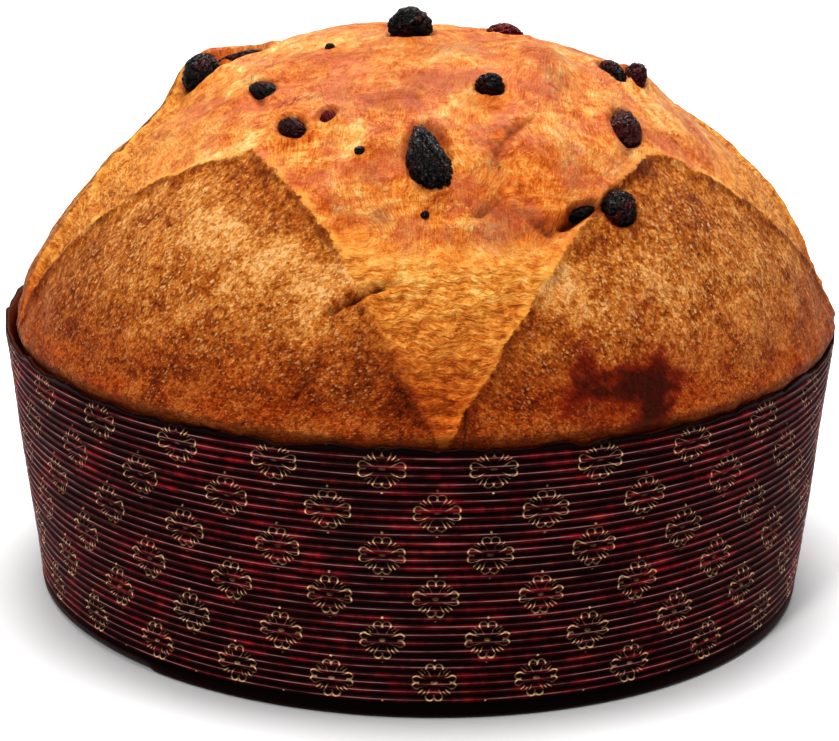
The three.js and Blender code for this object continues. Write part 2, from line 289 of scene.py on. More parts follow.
def broad_relief(u, v):
    out = np.hypot(u, v)
    depth = petal_depth(u, v)
    on_arm = smooth(CAP_RADIUS - 10, CAP_RADIUS + 20, out)
    lip = LIP_HEIGHT * np.exp(-((depth / LIP_WIDTH) ** 2))
    petal_slope = PETAL_SWELL * np.exp(-np.maximum(depth, 0) / PETAL_SOFTNESS)
    arm_slope = ARM_HOLLOW * (1 - np.exp(np.minimum(depth, 0) / ARM_SOFTNESS))
    fade = 1 - smooth(CRUST_EDGE - 12, CRUST_EDGE, out)
    lumps = sum(lump_height(u, v, *lump) for lump in LUMPS)
    return (lip - petal_slope - arm_slope) * on_arm * fade + lumps


def dome_point(u, v):
    out = np.minimum(np.hypot(u, v), MAP_RADIUS)
    azimuth = np.arctan2(v, u)
    t = out / MAP_RADIUS * np.pi / 2
    up = np.maximum(np.cos(t), 0) ** DOME_FLATNESS
    z = MOULD_HEIGHT + DOME_RISE * up
    radius = DOME_RADIUS * np.sin(t) ** DOME_ROUNDNESS + out_of_round(azimuth, z) * np.sin(t)
    return np.stack(
        [radius * np.cos(azimuth) + DOME_LEAN * up, radius * np.sin(azimuth), z], axis=-1
    )


def normal_of(point_at, u, v, step):
    along_u = point_at(u + step, v) - point_at(u - step, v)
    along_v = point_at(u, v + step) - point_at(u, v - step)
    normal = np.cross(along_u, along_v)
    return normal / np.linalg.norm(normal, axis=-1, keepdims=True)


def recess(u, v):
    turn = np.arctan2(v, u) - RECESS["at"]
    turn = np.arctan2(np.sin(turn), np.cos(turn))
    near = np.exp(-((turn / RECESS["spread"]) ** 2))
    start = MAP_RADIUS - RECESS["reach"]
    return RECESS["depth"] * near * smooth(start, CRUST_EDGE, np.hypot(u, v))


def broad_point(u, v):
    lift = broad_relief(u, v) - recess(u, v)
    return dome_point(u, v) + normal_of(dome_point, u, v, 0.5) * lift[..., None]


# Fine relief of the crust

def local_grain(u, v, axes):
    """Places seen from the nearest of some directions: across it, and out along it."""
    azimuth = np.arctan2(v, u)
    turns = np.stack([np.angle(np.exp(1j * (azimuth - np.radians(axis)))) for axis in axes])
    nearest = np.radians(np.array(axes))[np.argmin(np.abs(turns), axis=0)]
    across = v * np.cos(nearest) - u * np.sin(nearest)
    out = u * np.cos(nearest) + v * np.sin(nearest)
    return across, out, 0 * u


def arm_grain(u, v):
    return local_grain(u, v, list(ARM_TIPS.values()))


def petal_grain(u, v):
    middles = [np.degrees(np.arctan2(p["corner"][1], p["corner"][0])) for p in PETALS]
    return local_grain(u, v, middles)


def cap_grain(u, v):
    """Fibres that run down over the cap, a little bent: first across, then along."""
    across = u + 7 * noise(u / 30, v / 30, salt=33) + 3 * noise(u / 11, v / 11, salt=37)
    along = 0.45 * (v + 7 * noise(u / 30, v / 30, salt=35) + 3 * noise(u / 11, v / 11, salt=39))
    return across, along, 0 * u


def zones(u, v):
    """Depth inside the petals, softness of their edges, and the share of the cap."""
    cap_edge = 66 + 9 * noise(u / 20, v / 20, salt=41) + 14 * np.cos(np.arctan2(v, u) + 1.2)
    out = np.hypot(u, v)
    soft = sum(lump_height(u, v, *stroke) for stroke in SOFT_EDGES)
    return {
        "depth": petal_depth(u, v) + 1.2 * fractal(u / 8, v / 8, octaves=3, salt=31),
        "softness": 0.3 + np.clip(soft, 0, 3),
        "cap": 1 - smooth(-9, 6, out - np.minimum(cap_edge, 80)),
        "off_cap": smooth(46, 58, out),
    }


def line_field(u, v, points):
    """Distance from a bent line, and the share of its length at the nearest place."""
    best, share = np.full(u.shape, 1e9), np.zeros(u.shape)
    count = len(points) - 1
    for i, ((ax, ay), (bx, by)) in enumerate(zip(points, points[1:])):
        dx, dy = bx - ax, by - ay
        t = np.clip(((u - ax) * dx + (v - ay) * dy) / (dx * dx + dy * dy), 0, 1)
        distance = np.hypot(u - ax - t * dx, v - ay - t * dy)
        share = np.where(distance < best, (i + t) / count, share)
        best = np.minimum(best, distance)
    return best, share


def crease_field(u, v, points, width):
    """One in the bed of a crease, falling off to its sides and towards its ends."""
    distance, share = line_field(u, v, points)
    wander = distance + 0.6 * noise(u / 3, v / 3, salt=25)
    middle = np.clip(5 * share * (1 - share), 0.15, 1)
    return wander, np.exp(-((wander / (width * (0.5 + 0.5 * middle))) ** 2)) * middle


def fine_relief(u, v, zone):
    across, out, _ = petal_grain(u, v)
    blisters = 0.2 * (0.6 - cells(across / 1.9, out / 2.4, salt=3))
    petal = 0.6 * fractal(u / 15, v / 15, octaves=4, salt=1) + blisters
    across, out, _ = arm_grain(u, v)
    bend = 3.0 * noise(u / 12, v / 12, salt=5)
    strands = 1 - np.abs(noise(across / 6, (out + bend) / 2.2, salt=7)) * 2
    folds = noise(across / 12, (out + bend) / 5, salt=9)
    arm = 0.22 * strands + 0.4 * folds + 0.5 * fractal(u / 10, v / 10, octaves=4, salt=11)
    pits = smooth(0.45, 0.8, noise(across / 3.6, (out + bend) / 1.7, salt=13))
    arm = arm - 0.8 * pits
    across, along, _ = cap_grain(u, v)
    wrinkles = 1 - np.abs(noise(across / 3.4, along / 2.2, salt=19)) * 2
    cap = 0.26 * wrinkles + 0.5 * noise(across / 8, along / 4, salt=21)
    cap = cap + 0.6 * fractal(u / 10, v / 10, octaves=4, salt=23)
    on_petal = smooth(-0.6, 0.9, zone["depth"])
    star = cap * zone["cap"] + arm * (1 - zone["cap"])
    height = petal * on_petal + star * (1 - on_petal)
    for points, depth, width in CREASES:
        wander, bed = crease_field(u, v, points, width)
        height = height - depth * bed
        height = height + 0.3 * depth * np.exp(-(((wander - 2.6 * width) / (1.4 * width)) ** 2))
    return height


def raisin_frame(at, size, turn, rise):
    """Centre and the three directions of a raisin set in the crust."""
    u, v = np.array(float(at[0])), np.array(float(at[1]))
    normal = normal_of(broad_point, u, v, 2.0)
    aim = np.radians(turn)
    here = broad_point(u, v)
    long = broad_point(u + np.cos(aim), v + np.sin(aim)) - here
    long = long - normal * np.dot(long, normal)
    long = long / np.linalg.norm(long)
    centre = here + normal * (rise - size[2] / 2)
    return centre, long, np.cross(normal, long), normal


def seat_fields(u, v, place):
    """Crust drawn in around each raisin with a swollen collar, and the stain of its juice."""
    height, stain = np.zeros(u.shape), np.zeros(u.shape)
    for at, size, turn, rise in RAISINS:
        near = np.hypot(u - at[0], v - at[1]) < 20
        centre, long, wide, _ = raisin_frame(at, size, turn, rise)
        offset = place[near] - centre
        p, q = offset @ long, offset @ wide
        ring = np.hypot(p / (size[0] / 2 + 0.2), q / (size[1] / 2 + 0.2))
        ring = ring + 0.12 * noise(u[near] / 4, v[near] / 4, salt=27)
        dip = 0.9 * (1 - smooth(0.75, 1.0, ring))
        collar = 0.8 * np.exp(-(((ring - 1.22) / 0.2) ** 2))
        height[near] += collar - dip
        stain[near] += np.exp(-((np.maximum(ring - 0.95, 0) / 0.2) ** 2))
    return height, np.clip(stain, 0, 1)


# Modelling helpers

def deselect_all():
    for obj in bpy.context.selected_objects:
        obj.select_set(False)
    bpy.context.view_layer.objects.active = None


def new_piece(name):
    piece = bpy.context.active_object
    piece.name = piece.data.name = name
    return piece


def vertex_places(piece):
    flat = np.empty(len(piece.data.vertices) * 3)
    piece.data.vertices.foreach_get("co", flat)
    return flat.reshape(-1, 3)


def lay_vertices(piece, places):
    piece.data.vertices.foreach_set("co", np.ascontiguousarray(places).ravel())
    piece.data.update()


def store(piece, name, values):
    kind = "FLOAT_VECTOR" if values.ndim == 2 else "FLOAT"
    layer = piece.data.attributes.new(name, kind, "POINT")
    field = "vector" if values.ndim == 2 else "value"
    layer.data.foreach_set(field, np.ascontiguousarray(values, dtype=np.float32).ravel())


def finish_piece(piece, material, slot, *nodes):
    bpy.ops.object.mode_set(mode="EDIT")
    bpy.ops.mesh.select_all(action="SELECT")
    bpy.ops.mesh.normals_make_consistent(inside=False)
    bpy.ops.object.mode_set(mode="OBJECT")
    bpy.ops.object.shade_smooth()
    piece.data.materials.clear()
    piece.data.materials.append(material)
    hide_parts(*nodes)
    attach(piece, "root")
    deselect_all()


# Material helpers

def tone(hex_code):
    """A screen colour as the linear colour that shaders take."""
    shares = [int(hex_code[i : i + 2], 16) / 255 for i in (1, 3, 5)]
    linear = [s / 12.92 if s <= 0.04045 else ((s + 0.055) / 1.055) ** 2.4 for s in shares]
    return (*linear, 1.0)


class Shader:
    """A material being wired: each method adds one node and returns its output."""

    def __init__(self, name):
        self.material = bpy.data.materials.new(name)
        self.material.use_nodes = True
        self.nodes = self.material.node_tree.nodes
        self.links = self.material.node_tree.links
        self.surface = self.nodes["Principled BSDF"]

    def put(self, socket, value):
        if isinstance(value, bpy.types.NodeSocket):
            self.links.new(value, socket)
        elif value is not None:
            socket.default_value = value

    def settle(self, values):
        """Fixed values on the surface's own sockets."""
        for name, value in values.items():
            self.surface.inputs[name].default_value = value

    def attribute(self, name, vector=False):
        node = self.nodes.new("ShaderNodeAttribute")
        node.attribute_name = name
        return node.outputs["Vector" if vector else "Fac"]

    def object_place(self):
        """Object coordinates in millimetres."""
        place = self.nodes.new("ShaderNodeTexCoord").outputs["Object"]
        return self.scaled(place, (1000, 1000, 1000))

    def scaled(self, vector, scale, offset=(0, 0, 0)):
        node = self.nodes.new("ShaderNodeMapping")
        self.put(node.inputs["Vector"], vector)
        node.inputs["Scale"].default_value = scale
        node.inputs["Location"].default_value = offset
        return node.outputs["Vector"]

    def joined(self, x, y, z=0.0):
        node = self.nodes.new("ShaderNodeCombineXYZ")
        for socket, value in zip(node.inputs, (x, y, z)):
            self.put(socket, value)
        return node.outputs[0]

    def split(self, vector):
        node = self.nodes.new("ShaderNodeSeparateXYZ")
        self.put(node.inputs[0], vector)
        return node.outputs

    def math(self, operation, a, b=None, c=None):
        node = self.nodes.new("ShaderNodeMath")
        node.operation = operation
        for socket, value in zip(node.inputs, (a, b, c)):
            self.put(socket, value)
        return node.outputs[0]

    def product(self, *values):
        total = values[0]
        for value in values[1:]:
            total = self.math("MULTIPLY", total, value)
        return total

    def blend_sum(self, *terms):
        """Sum of value times weight over pairs, and of plain numbers."""
        total = 0.0
        for term in terms:
            if isinstance(term, tuple):
                total = self.math("MULTIPLY_ADD", term[0], term[1], total)
            else:
                total = self.math("ADD", total, term)
        return total

    def ease(self, value, low, high, start=0.0, end=1.0):
        node = self.nodes.new("ShaderNodeMapRange")
        node.interpolation_type = "SMOOTHSTEP"
        for name, number in zip(("Value", "From Min", "From Max", "To Min", "To Max"),
                                (value, low, high, start, end)):
            self.put(node.inputs[name], number)
        return node.outputs[0]

    def noise(self, vector, scale=(1, 1, 1), detail=3.0, roughness=0.55, distortion=0.0):
        node = self.nodes.new("ShaderNodeTexNoise")
        self.put(node.inputs["Vector"], self.scaled(vector, scale))
        node.inputs["Scale"].default_value = 1.0
        node.inputs["Detail"].default_value = detail
        node.inputs["Roughness"].default_value = roughness
        node.inputs["Distortion"].default_value = distortion
        return node.outputs["Fac"]

    def cells(self, vector, scale):
        """Distance from the nearest scattered point, and a random share for its cell."""
        node = self.nodes.new("ShaderNodeTexVoronoi")
        self.put(node.inputs["Vector"], vector)
        node.inputs["Scale"].default_value = scale
        shade = self.nodes.new("ShaderNodeSeparateColor")
        self.put(shade.inputs[0], node.outputs["Color"])
        return node.outputs["Distance"], shade.outputs[0]

    def ramp(self, value, stops):
        node = self.nodes.new("ShaderNodeValToRGB")
        self.put(node.inputs["Fac"], value)
        ramp = node.color_ramp
        while len(ramp.elements) < len(stops):
            ramp.elements.new(0.5)
        for element, (place, colour) in zip(ramp.elements, stops):
            element.position = place
            element.color = tone(colour)
        return node.outputs["Color"]

    def mix(self, share, a, b, blend="MIX"):
        node = self.nodes.new("ShaderNodeMix")
        node.data_type = "RGBA"
        node.blend_type = blend
        node.clamp_factor = True
        colours = [tone(c) if isinstance(c, str) else c for c in (a, b)]
        self.put(node.inputs[0], share)
        self.put(node.inputs[6], colours[0])
        self.put(node.inputs[7], colours[1])
        return node.outputs[2]

    def bump(self, height):
        """Relief from a height in millimetres."""
        node = self.nodes.new("ShaderNodeBump")
        node.inputs["Strength"].default_value = 1.0
        node.inputs["Distance"].default_value = MM
        self.put(node.inputs["Height"], height)
        return node.outputs["Normal"]


# Finish of the bread

def petal_finish(s, grain, flat):
    """Blistered skin: pale grains of many sizes over browner gaps."""
    toast_and_shading, blister = s.attribute("toast_and_shading"), s.attribute("blister")
    mottle = s.noise(flat, (0.09, 0.09, 0.09), detail=6, roughness=0.7, distortion=0.5)
    grit = s.noise(grain, (0.6, 0.42, 1.0), detail=5, roughness=0.8, distortion=0.3)
    fine = s.noise(grain, (1.5, 1.1, 1.0), detail=3, roughness=0.7)
    level = s.blend_sum(toast_and_shading, (mottle, 1.5), (grit, -1.9), (fine, -0.9), 0.71)
    skin = s.ramp(level, [(0.0, "#EEBD84"), (0.22, "#D8964E"), (0.45, "#B56A26"),
                          (0.7, "#8A4211"), (1.0, "#511E06")])
    x, y, _ = s.split(grain)
    wobbled = s.joined(s.blend_sum(x, (fine, 1.6)), s.blend_sum((y, 0.75), (fine, -1.4)))
    near, chance = s.cells(wobbled, 0.62)
    tiny, tiny_chance = s.cells(s.scaled(wobbled, (1, 1, 1), (7, 3, 0)), 1.15)
    crowd = s.product(blister, s.ease(mottle, 0.35, 0.6, 0.45, 1.0))
    dome, small_dome = s.ease(near, 0.38, 0.2), s.ease(tiny, 0.44, 0.24)
    dot = s.product(dome, s.ease(chance, 0.15, 0.9), crowd)
    tiny_dot = s.product(small_dome, s.ease(tiny_chance, 0.25, 0.85), crowd)
    pit = s.product(s.ease(tiny_chance, 0.25, 0.05), s.ease(tiny, 0.5, 0.2), blister)
    colour = s.mix(s.product(pit, 0.55), skin, "#6A2A08")
    colour = s.mix(s.product(dot, 0.65), colour, "#EDBE84")
    colour = s.mix(s.product(tiny_dot, 0.65), colour, "#F2CC96")
    height = s.blend_sum((dome, 0.2), (small_dome, 0.1), (grit, 1.2))
    return colour, height


def arm_finish(s, grain, flat):
    """Torn crumb skin: fine bent strands across the arm, with small tears."""
    bend = s.noise(flat, (0.12, 0.12, 0.12), detail=3)
    across, out, _ = s.split(grain)
    waved = s.joined(s.blend_sum(across, (bend, 5.0)), s.blend_sum(out, (bend, 7.0)))
    strands = s.noise(waved, (0.34, 1.25, 1.0), detail=5, roughness=0.74, distortion=0.3)
    bands = s.noise(waved, (0.09, 0.36, 1.0), detail=4, roughness=0.65)
    mottle = s.noise(flat, (0.3, 0.3, 0.3), detail=6, roughness=0.74)
    level = s.blend_sum((strands, 1.5), (bands, 0.9), (mottle, 1.2), -1.3)
    level = s.math("SUBTRACT", level, s.product(s.attribute("toast_and_shading"), 0.4))
    colour = s.ramp(level, [(0.05, "#96501A"), (0.25, "#C4762E"), (0.45, "#DE994A"),
                            (0.65, "#EEBA6C"), (0.9, "#FADDA8")])
    tear = s.noise(waved, (0.28, 1.1, 1.0), detail=2)
    tear = s.product(s.ease(tear, 0.67, 0.76), 0.6)
    colour = s.mix(tear, colour, "#6B360E")
    height = s.blend_sum((strands, 1.0), (bands, 0.8))
    return colour, height


def cap_finish(s, grain, flat):
    """Glazed top: orange and tan patches under a web of fine dark wrinkles."""
    fibres = s.noise(grain, (2.4, 1.0, 1.0), detail=4, roughness=0.7, distortion=0.2)
    mottle = s.noise(flat, (0.35, 0.35, 0.35), detail=6, roughness=0.76, distortion=0.3)
    broad = s.noise(flat, (0.06, 0.06, 0.06), detail=6, roughness=0.7, distortion=0.8)
    blush = s.noise(s.scaled(flat, (1, 1, 1), (40, 17, 0)), (0.07, 0.07, 0.07), detail=5,
                    roughness=0.62)
    web = s.noise(grain, (0.3, 0.6, 1.0), detail=6, roughness=0.66, distortion=0.3)
    web = s.ease(s.math("ABSOLUTE", s.math("SUBTRACT", web, 0.5)), 0.03, 0.0)
    web = s.product(web, s.ease(blush, 0.42, 0.58, 0.3, 1.0))
    level = s.blend_sum((fibres, 0.9), (mottle, 1.2), (broad, 1.5), (web, -0.1), -1.31)
    colour = s.ramp(level, [(0.1, "#9A4010"), (0.3, "#CA6A22"), (0.46, "#E28C40"),
                            (0.62, "#F0AE60"), (0.85, "#FCDA9A")])
    colour = s.mix(s.product(web, 0.4), colour, "#8A3E1A")
    colour = s.mix(s.product(s.ease(blush, 0.48, 0.6), 0.5), colour, "#CC7054")
    mauve = s.product(s.attribute("mauve"), s.ease(mottle, 0.36, 0.55), 0.8)
    colour = s.mix(mauve, colour, "#86382E")
    height = s.blend_sum((fibres, 0.6), (mottle, 1.2))
    return colour, height


def crust_material():
    s = Shader("baked_crust")
    flat = s.attribute("flat", vector=True)
    cap, off_cap, burn = s.attribute("cap"), s.attribute("off_cap"), s.attribute("burn")
    petal_map = s.attribute("petal_grain", vector=True)
    petal_skin, petal_height = petal_finish(s, petal_map, flat)
    arm_skin, arm_height = arm_finish(s, s.attribute("arm_grain", vector=True), flat)
    cap_skin, cap_height = cap_finish(s, s.attribute("cap_grain", vector=True), flat)
    fray = s.noise(flat, (0.7, 0.7, 0.7), detail=4, roughness=0.65)
    depth = s.blend_sum(s.attribute("depth"), (fray, 3.0), -1.5)
    petal = s.ease(s.math("DIVIDE", depth, s.attribute("softness")), -1.0, 1.0)
    broken = s.noise(flat, (0.13, 0.13, 0.13), detail=3)
    hard = s.product(off_cap, s.ease(s.attribute("softness"), 1.5, 0.5))
    # A pale line along the arms' edges: partly the paler dough of the ridge, partly painted
    # highlight where the ridge catches the light.
    lip = s.product(s.ease(depth, -2.2, -1.0), s.ease(depth, 0.1, -0.4), hard)
    lip = s.product(lip, s.ease(broken, 0.42, 0.62, 0.1, 0.6))
    shade = s.product(s.ease(depth, 0.0, 0.5), s.ease(depth, 2.6, 0.8), hard)
    shade = s.product(shade, s.ease(broken, 0.4, 0.6, 0.15, 0.6))
    star = s.mix(cap, arm_skin, cap_skin)
    star = s.mix(lip, star, "#F2B458")
    colour = s.mix(petal, star, petal_skin)
    colour = s.mix(shade, colour, "#6A2C0A")
    # Painted shade: the crust darkened, with a warm tint, towards the rim.
    colour = s.mix(s.attribute("rim_shade"), colour, "#E6AC7A", "MULTIPLY")
    drip = s.noise(petal_map, (0.6, 0.25, 1.0), detail=6, roughness=0.78)
    scorch = s.blend_sum(burn, (drip, 1.9), -0.95)
    colour = s.mix(s.ease(scorch, 0.1, 0.7, 0.0, 0.9), colour, "#881E05")
    colour = s.mix(s.ease(scorch, 0.4, 1.2, 0.0, 0.92), colour, "#420400")
    colour = s.mix(s.product(s.attribute("stain"), 0.55), colour, "#84300E")
    # Painted shade in the creases and at the crust's edge over the paper.
    colour = s.mix(s.attribute("crease_shade"), colour, "#5A2208")
    s.put(s.surface.inputs["Base Color"], colour)
    star_share = s.math("SUBTRACT", 1.0, petal)
    height = s.blend_sum(
        (petal_height, petal),
        (arm_height, s.product(star_share, s.math("SUBTRACT", 1.0, cap))),
        (cap_height, s.product(star_share, cap)),
    )
    s.put(s.surface.inputs["Normal"], s.bump(height))
    gloss = s.blend_sum((s.product(star_share, cap), -0.24), (burn, -0.12), 0.52)
    s.put(s.surface.inputs["Roughness"], gloss)
    s.settle({"Specular IOR Level": 0.28, "Specular Tint": (1.0, 0.62, 0.34, 1)})
    return s.material


# Tones laid on the crust: map place, strength, length, width, turn.
# Toast is browner skin, or paler below zero, and partly painted light: the pale strokes on the
# front-left petal and the upper front arm are painted highlight, and the brown strokes low on
# the front arm are painted shade. Mauves are dull reddish places in the glaze.
TOAST_ALL_OVER = 0.36
TOAST_AND_SHADING = [
    ((-33, -60), 0.12, 22, 6, -60),
    ((-43, -48), 0.10, 9, 8, 0),
    ((-44, -69), -0.19, 28, 10, -48),
    ((-66, -50), 0.05, 18, 10, -20),
    ((-92, -60), 0.10, 14, 26, 30),
    ((-62, -98), 0.12, 22, 14, 0),
    ((-28, -112), 0.16, 24, 12, 15),
    ((-12, -104), 0.08, 12, 10, 0),
    ((50, -46), 0.20, 14, 8, -40),
    ((57, -66), -0.06, 14, 9, -60),
    ((38, -86), -0.10, 10, 9, 0),
    ((90, -90), -0.06, 22, 20, 0),
    ((2, -78), -0.36, 26, 9, 0),
    ((2, -120), 0.3, 16, 12, 0),
    ((36, -108), 0.1, 8, 14, 0),
    ((28, -112), 0.12, 12, 20, 20),
    ((60, 70), 0.20, 30, 24, 40),
    ((-70, 70), 0.22, 34, 24, 130),
    ((92, 60), 0.10, 20, 26, 0),
]
BURNS = [
    ((62, -101), 1.25, 10, 9, 60),
    ((50, -107), 0.85, 12, 6, 15),
    ((66, -112), 1.0, 6, 9, 0),
    ((41, -112), 0.4, 5, 10, 0),
    ((40, -98), 0.5, 3, 10, 10),
    ((54, -120), 0.3, 14, 5, 0),
    ((52, -78), 0.4, 5, 9, -50),
    ((-29, -27), 0.4, 5, 4, 20),
    ((24, -27), 0.3, 3, 8, 5),
    ((3, -63), 0.4, 6, 2.5, 0),
    ((74, 84), 0.6, 12, 8, 40),
    ((-86, 62), 0.55, 10, 12, 20),
]
MAUVES = [
    ((-12, -34), 0.7, 8, 4, 20),
    ((-19, -28), 0.5, 6, 4, 40),
    ((-13, -54), 0.6, 4, 6, 0),
    ((-12, -66), 0.8, 5, 3, 10),
    ((-20, -65), 0.5, 5, 3, 0),
    ((12, -46), 0.8, 4, 14, 5),
    ((22, -66), 0.9, 9, 4, -20),
    ((12, -72), 0.8, 10, 2.5, 5),
    ((24, -20), 0.8, 3, 10, 5),
    ((-2, -26), 0.5, 14, 4, 5),
    ((0, -8), 0.5, 22, 5, 0),
    ((30, 6), 0.4, 8, 5, 0),
    ((30, -48), 0.5, 7, 7, 0),
    ((-20, 30), 0.5, 14, 6, 30),
    ((16, 44), 0.5, 12, 6, -20),
]


def painted(u, v, strokes, salt):
    """Soft-edged tones with ragged outlines."""
    wu = u + 4.0 * fractal(u / 9, v / 9, octaves=3, salt=salt)
    wv = v + 4.0 * fractal(u / 9, v / 9, octaves=3, salt=salt + 50)
    return sum(lump_height(wu, wv, *stroke) for stroke in strokes)


def crust_tones(u, v, zone):
    out = np.hypot(u, v)
    burn = painted(u, v, BURNS, 61)
    # Browning, with painted highlight and painted shade in some of its strokes.
    toast_and_shading = TOAST_ALL_OVER + painted(u, v, TOAST_AND_SHADING, 63)
    on_petal = smooth(-0.6, 0.9, zone["depth"])
    # Painted shade in the beds of the creases.
    crease_shade = sum(
        0.8 * crease_field(u, v, points, 0.5 * width)[1] * min(depth, 1.2)
        for points, depth, width in CREASES
    )
    # Painted shade: darker towards the rim, where the dome turns down from the light.
    rim_shade = smooth(92, 128, out) * np.clip(0.8 + 0.4 * noise(u / 12, v / 12, salt=67), 0, 1)
    # Painted shade in the last millimetres of crust, where the dough overhangs the paper.
    edge = smooth(131.5, 134.0, out + 2.0 * noise(u / 3.0, v / 3.0, salt=69))
    return {
        "toast_and_shading": np.clip(toast_and_shading, 0, 1),
        "burn": burn,
        "mauve": np.clip(painted(u, v, MAUVES, 65), 0, 1) * (1 - on_petal),
        "rim_shade": rim_shade,
        "blister": (1 - 0.7 * smooth(0.4, 0.9, burn)) * smooth(-3, 14, petal_depth(u, v)),
        "crease_shade": np.clip(np.maximum(crease_shade, 0.55 * edge), 0, 0.9),
    }


# Rows of the bread's side: height, how far it stands inside the paper
SIDE_ROWS = [(MOULD_HEIGHT - 1.5, 0.3), (36.0, 0.3), (5.0, 0.3), (BREAD_FOOT, 1.5)]


def side_point(out, azimuth):
    """Rows of the blank beyond the crust's edge: down inside the paper to the foot."""
    row = np.clip(np.round(out - MAP_RADIUS).astype(int), 1, len(SIDE_ROWS))
    heights, tucks = np.array(SIDE_ROWS)[row - 1].T
    radius = paper_radius(heights) - PAPER_WALL - tucks + out_of_round(azimuth, heights)
    drawn = recess(MAP_RADIUS * np.cos(azimuth), MAP_RADIUS * np.sin(azimuth))
    radius = radius - np.where(row == 1, drawn, 0)
    return round_point(radius, azimuth, heights)


def square_to_disc(x, y):
    """Concentric rings from a square grid, so that the crust's faces stay even."""
    x_leads = np.abs(x) >= np.abs(y)
    radius = np.where(x_leads, x, y)
    share = np.divide(np.where(x_leads, y, x), radius, out=np.zeros_like(radius), where=radius != 0)
    angle = np.where(x_leads, share * np.pi / 4, np.pi / 2 - share * np.pi / 4)
    return radius * np.cos(angle), radius * np.sin(angle)


def bread_blank():
    """Flat disc of the crust map, with the rows of the side as rings round it."""
    deselect_all()
    bpy.ops.mesh.primitive_grid_add(x_subdivisions=CRUST_GRID, y_subdivisions=CRUST_GRID, size=2)
    bread = new_piece("bread_loaf")
    grid = vertex_places(bread)
    u, v = square_to_disc(grid[:, 0], grid[:, 1])
    lay_vertices(bread, np.stack([u * MAP_RADIUS, v * MAP_RADIUS, 0 * u], axis=-1))
    bpy.ops.object.mode_set(mode="EDIT")
    bpy.ops.mesh.select_all(action="SELECT")
    bpy.ops.mesh.region_to_loop()
    for row in range(1, len(SIDE_ROWS) + 1):
        bpy.ops.mesh.extrude_edges_move()
        step = (MAP_RADIUS + row) / (MAP_RADIUS + row - 1)
        bpy.ops.transform.resize(value=(step, step, 1), center_override=(0, 0, 0))
    bpy.ops.mesh.edge_face_add()
    bpy.ops.object.mode_set(mode="OBJECT")
    return bread


def rim_overhang(u, v):
    """Dough swollen a little over the paper, in uneven lobes, where it meets the rim."""
    out, azimuth = np.hypot(u, v), np.arctan2(v, u)
    lobes = 0.5 + 0.5 * ring_noise(azimuth, 14, salt=71)
    small = ring_noise(azimuth, 34, salt=73)
    return (0.4 + 1.3 * lobes + 0.3 * small) * smooth(120, 133, out)


def make_bread(material):
    bread = bread_blank()
    blank = vertex_places(bread)
    u, v = blank[:, 0], blank[:, 1]
    out, azimuth = np.hypot(u, v), np.arctan2(v, u)
    on_crust = out < MAP_RADIUS + 0.5
    squeeze = CRUST_EDGE / MAP_RADIUS
    cu, cv = u * squeeze, v * squeeze
    onward = np.where(on_crust, 1.0, 1 + 8 * (out - MAP_RADIUS) / CRUST_EDGE)
    fu, fv = cu * onward, cv * onward
    zone = zones(cu, cv)
    broad = broad_point(cu, cv)
    fade = 1 - 0.8 * smooth(CRUST_EDGE - 8, CRUST_EDGE, np.hypot(cu, cv))
    seats, stain = seat_fields(cu, cv, broad)
    lift = fine_relief(cu, cv, zone) * fade + seats + rim_overhang(cu, cv)
    crust = broad + normal_of(dome_point, cu, cv, 0.5) * lift[:, None]
    places = np.where(on_crust[:, None], crust, side_point(out, azimuth))
    lay_vertices(bread, places * MM)
    for name, values in {**zone, **crust_tones(cu, cv, zone), "stain": stain}.items():
        store(bread, name, values)
    grains = {"arm_grain": arm_grain, "petal_grain": petal_grain, "cap_grain": cap_grain}
    store(bread, "flat", np.stack([fu, fv, 0 * fu], axis=-1))
    for name, grain in grains.items():
        store(bread, name, np.stack(grain(fu, fv), axis=-1))
    finish_piece(bread, material, "crust", "bread")


# Paper mould

RIB_SHAPE = ((0.18, 0.72), (0.34, 0.25), (0.5, 0.0), (0.66, 0.2), (0.82, 0.66), (1.0, 1.0))


def mould_profile():
    """Outline of the paper from the middle of its foot, out, up the ribs and down inside."""
    profile = [(0.0, 0.0), (FOOT_RADIUS - 5, 0.0), (FOOT_RADIUS - 0.9, 0.0)]
    profile += [(FOOT_RADIUS - 0.3, 0.25), (FOOT_RADIUS, 0.8), (paper_radius(2.0), 2.0)]
    profile += [(paper_radius(3.0) - 0.05, 3.0), (paper_radius(HEM_HEIGHT) - RIB_DEPTH, HEM_HEIGHT)]
    for rib in range(RIB_COUNT):
        for share, depth in RIB_SHAPE:
            z = HEM_HEIGHT + (rib + share) * RIB_PITCH
            profile.append((paper_radius(z) - depth * RIB_DEPTH, z))
    profile += [(RIM_RADIUS - 0.25, MOULD_HEIGHT - 0.7), (RIM_RADIUS - 0.3, MOULD_HEIGHT)]
    profile += [(RIM_RADIUS - PAPER_WALL + 0.1, MOULD_HEIGHT)]
    profile += [(paper_radius(z) - PAPER_WALL, z) for z in (66.0, 45.0, 20.0, 1.6)]
    return profile + [(FOOT_RADIUS - PAPER_WALL - 1.5, PAPER_FLOOR), (0.0, PAPER_FLOOR)]


